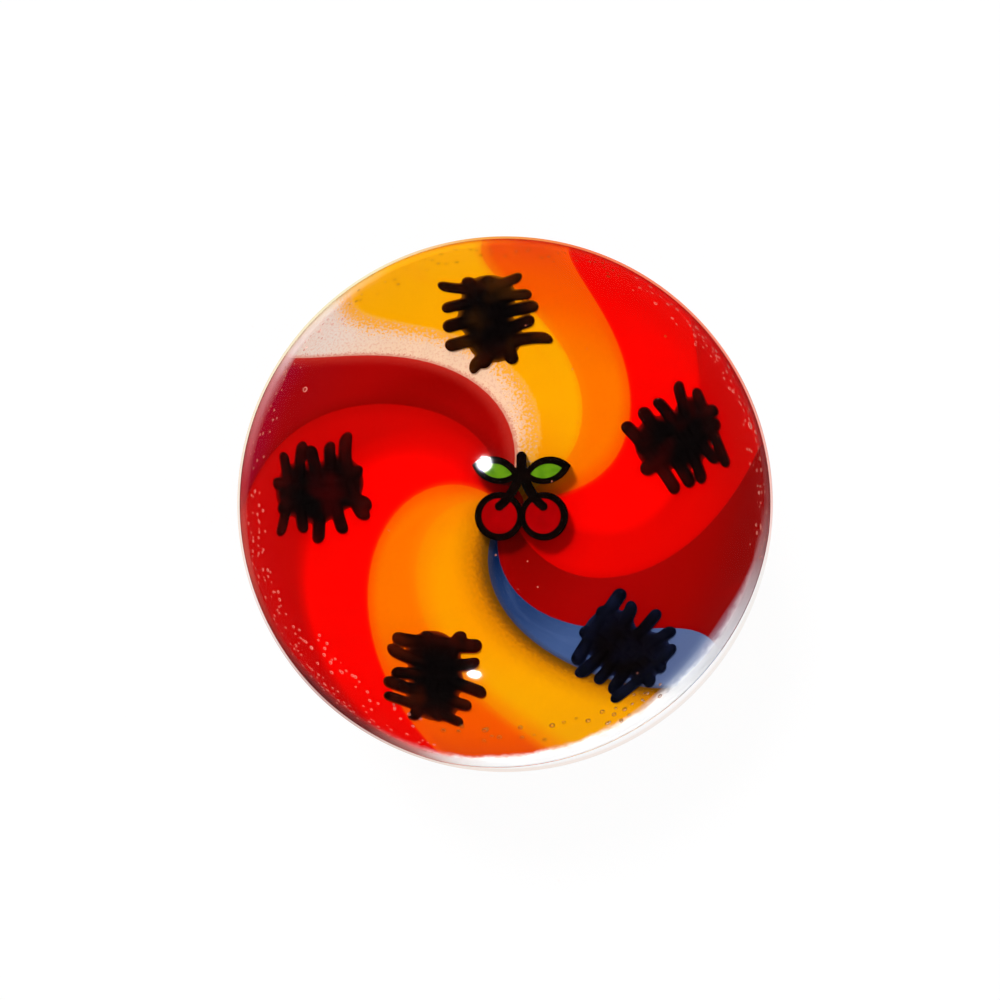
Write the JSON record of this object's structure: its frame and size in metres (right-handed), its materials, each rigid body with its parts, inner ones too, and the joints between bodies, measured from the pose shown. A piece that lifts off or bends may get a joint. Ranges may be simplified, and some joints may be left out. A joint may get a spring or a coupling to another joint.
{
  "type": "glass marble",
  "caption": "Round clear glass marble holding a flat twisted layer of red, orange, amber, white and blue glass, with dark hatched marks and a small cherry picture slice set in it.",
  "frame": {"origin": "centre of the ball", "axes": "+Z out through the face that shows the picture slice, square to the coloured layer; +X to the right and +Y up as the picture is seen from above"},
  "size_m": [0.038, 0.038, 0.038],
  "materials": {
    "clear_glass": "clear, fire-polished",
    "bright_red_glass": "opaque, smooth",
    "red_glass": "opaque, smooth",
    "dark_red_glass": "opaque, smooth",
    "orange_glass": "opaque, smooth",
    "amber_glass": "opaque, smooth",
    "white_glass": "opaque, speckled",
    "blue_glass": "opaque, smooth",
    "dark_stringer_glass": "nearly opaque, dark",
    "black_glass": "opaque, black",
    "cherry_red_glass": "opaque, smooth",
    "leaf_green_glass": "opaque, smooth"
  },
  "bodies": {
    "root": {"clear_ball": "clear_glass", "bright_red_band": "bright_red_glass", "red_band_1": "red_glass", "red_band_2": "red_glass", "dark_red_band_1": "dark_red_glass", "dark_red_band_2": "dark_red_glass", "orange_band_1": "orange_glass", "orange_band_2": "orange_glass", "amber_band_1": "amber_glass", "amber_band_2": "amber_glass", "white_band": "white_glass", "blue_band": "blue_glass", "hatched_mark_1": "dark_stringer_glass", "hatched_mark_2": "dark_stringer_glass", "hatched_mark_3": "dark_stringer_glass", "hatched_mark_4": "dark_stringer_glass", "hatched_mark_5": "dark_stringer_glass", "picture_outline": "black_glass", "left_cherry": "cherry_red_glass", "right_cherry": "cherry_red_glass", "left_leaf": "leaf_green_glass", "right_leaf": "leaf_green_glass"}
  },
  "joints": []
}
